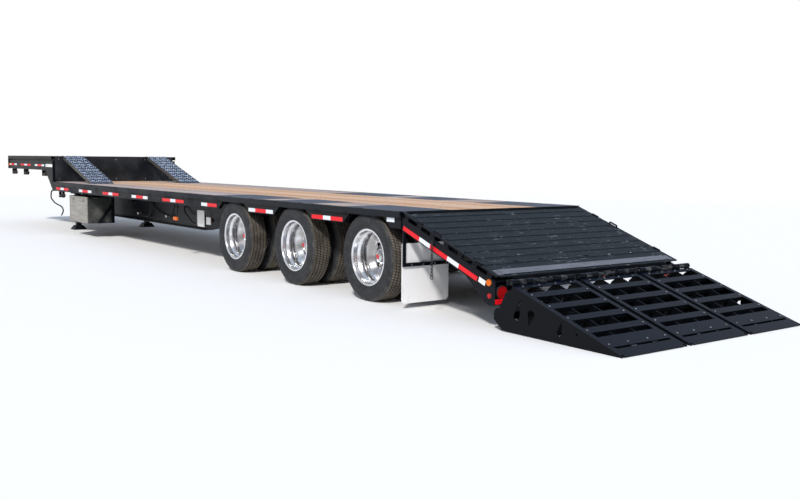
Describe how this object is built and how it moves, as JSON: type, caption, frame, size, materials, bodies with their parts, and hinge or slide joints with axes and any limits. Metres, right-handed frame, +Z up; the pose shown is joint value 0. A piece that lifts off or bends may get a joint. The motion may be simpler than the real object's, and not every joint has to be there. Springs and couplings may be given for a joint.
{
  "type": "drop deck trailer",
  "caption": "Drop deck trailer with a beavertail, flip-over loading ramps, wood and steel floor, twin wheels on sprung axles, landing legs and a kingpin under its raised front deck",
  "frame": {"origin": "on the ground, midway between nose and ramp tips, in the trailer's middle plane", "axes": "+X points forward to the nose and kingpin, +Y to the trailer's left side, +Z up"},
  "size_m": [17.553, 2.59, 1.4883],
  "materials": {
    "black_paint": "semi-gloss black paint over welded steel",
    "chassis_paint": "dull black chassis paint with road dust",
    "deck_steel": "dark blue-black painted steel plate, scuffed",
    "tan_wood": "unpainted hardwood planks, tan",
    "grey_wood": "weathered hardwood planks, greyed",
    "galvanised_steel": "pressed galvanised steel",
    "bare_steel": "bare steel, worn",
    "cast_couplings": "cast metal",
    "polished_wheel": "polished forged aluminium",
    "tyre_rubber": "dusty tyre rubber",
    "bellows_rubber": "moulded rubber bellows",
    "flap_plastic": "white flexible sheet",
    "red_lens": "moulded red lens",
    "amber_lens": "moulded amber lens",
    "toolbox_paint": "light metallic sheet, dusty"
  },
  "bodies": {
    "chassis": {"air_springs": "bellows_rubber", "air_tanks": "chassis_paint", "amber_lamps": "amber_lens", "axles": "chassis_paint", "beavertail_caps": "black_paint", "beavertail_deck": "deck_steel", "beavertail_sides": "black_paint", "beavertail_spacers": "black_paint", "bulkhead": "black_paint", "centre_boards": "tan_wood", "coupler_plate": "black_paint", "crank": "bare_steel", "deck_ramps": "galvanised_steel", "flap_frames": "black_paint", "kingpin": "bare_steel", "lamp_brackets": "black_paint", "landing_legs": "black_paint", "lower_cross_members": "black_paint", "main_beams": "black_paint", "mud_flaps": "flap_plastic", "neck_beams": "black_paint", "neck_plates": "black_paint", "nose_couplings": "cast_couplings", "nose_plate": "black_paint", "outer_boards": "grey_wood", "ramp_hinges": "black_paint", "red_lamps": "red_lens", "safety_chain": "bare_steel", "side_channels": "black_paint", "side_rails": "black_paint", "suspension_arms": "chassis_paint", "suspension_hangers": "black_paint", "tail_header": "black_paint", "tank_hangers": "black_paint", "toolbox": "toolbox_paint", "toolbox_hangers": "black_paint", "upper_boards": "grey_wood", "upper_cross_members": "black_paint", "upper_side_rails": "black_paint", "valve_plates": "black_paint", "wheel_covers": "deck_steel", "winches": "black_paint"},
    "front_left_wheels": {"wheel_front_left": "polished_wheel", "tyres_front_left": "tyre_rubber"},
    "front_right_wheels": {"wheel_front_right": "polished_wheel", "tyres_front_right": "tyre_rubber"},
    "middle_left_wheels": {"wheel_middle_left": "polished_wheel", "tyres_middle_left": "tyre_rubber"},
    "middle_right_wheels": {"wheel_middle_right": "polished_wheel", "tyres_middle_right": "tyre_rubber"},
    "rear_left_wheels": {"wheel_rear_left": "polished_wheel", "tyres_rear_left": "tyre_rubber"},
    "rear_right_wheels": {"wheel_rear_right": "polished_wheel", "tyres_rear_right": "tyre_rubber"},
    "left_ramp": {"ramp_left": "black_paint"},
    "centre_ramp": {"ramp_centre": "black_paint"},
    "right_ramp": {"ramp_right": "black_paint"},
    "box_door": {"toolbox_door": "toolbox_paint"}
  },
  "joints": [
    {"name": "front_left_spin", "type": "hinge", "parent": "chassis", "child": "front_left_wheels", "pos_m": [-2.3185, 0.975, 0.465], "axis": [0, 1, 0], "continuous": true},
    {"name": "front_right_spin", "type": "hinge", "parent": "chassis", "child": "front_right_wheels", "pos_m": [-2.3185, -0.975, 0.465], "axis": [0, 1, 0], "continuous": true},
    {"name": "middle_left_spin", "type": "hinge", "parent": "chassis", "child": "middle_left_wheels", "pos_m": [-3.8425, 0.975, 0.465], "axis": [0, 1, 0], "continuous": true},
    {"name": "middle_right_spin", "type": "hinge", "parent": "chassis", "child": "middle_right_wheels", "pos_m": [-3.8425, -0.975, 0.465], "axis": [0, 1, 0], "continuous": true},
    {"name": "rear_left_spin", "type": "hinge", "parent": "chassis", "child": "rear_left_wheels", "pos_m": [-5.3665, 0.975, 0.465], "axis": [0, 1, 0], "continuous": true},
    {"name": "rear_right_spin", "type": "hinge", "parent": "chassis", "child": "rear_right_wheels", "pos_m": [-5.3665, -0.975, 0.465], "axis": [0, 1, 0], "continuous": true},
    {"name": "left_ramp_fold", "type": "hinge", "parent": "chassis", "child": "left_ramp", "pos_m": [-7.5265, 0.853, 0.43789], "axis": [0, 1, 0], "range_deg": [0, 178]},
    {"name": "centre_ramp_fold", "type": "hinge", "parent": "chassis", "child": "centre_ramp", "pos_m": [-7.5265, 0, 0.43789], "axis": [0, 1, 0], "range_deg": [0, 178]},
    {"name": "right_ramp_fold", "type": "hinge", "parent": "chassis", "child": "right_ramp", "pos_m": [-7.5265, -0.853, 0.43789], "axis": [0, 1, 0], "range_deg": [0, 178]},
    {"name": "box_door_drop", "type": "hinge", "parent": "chassis", "child": "box_door", "pos_m": [4.0965, 1.24, 0.267], "axis": [-1, 0, 0], "range_deg": [0, 90]}
  ]
}
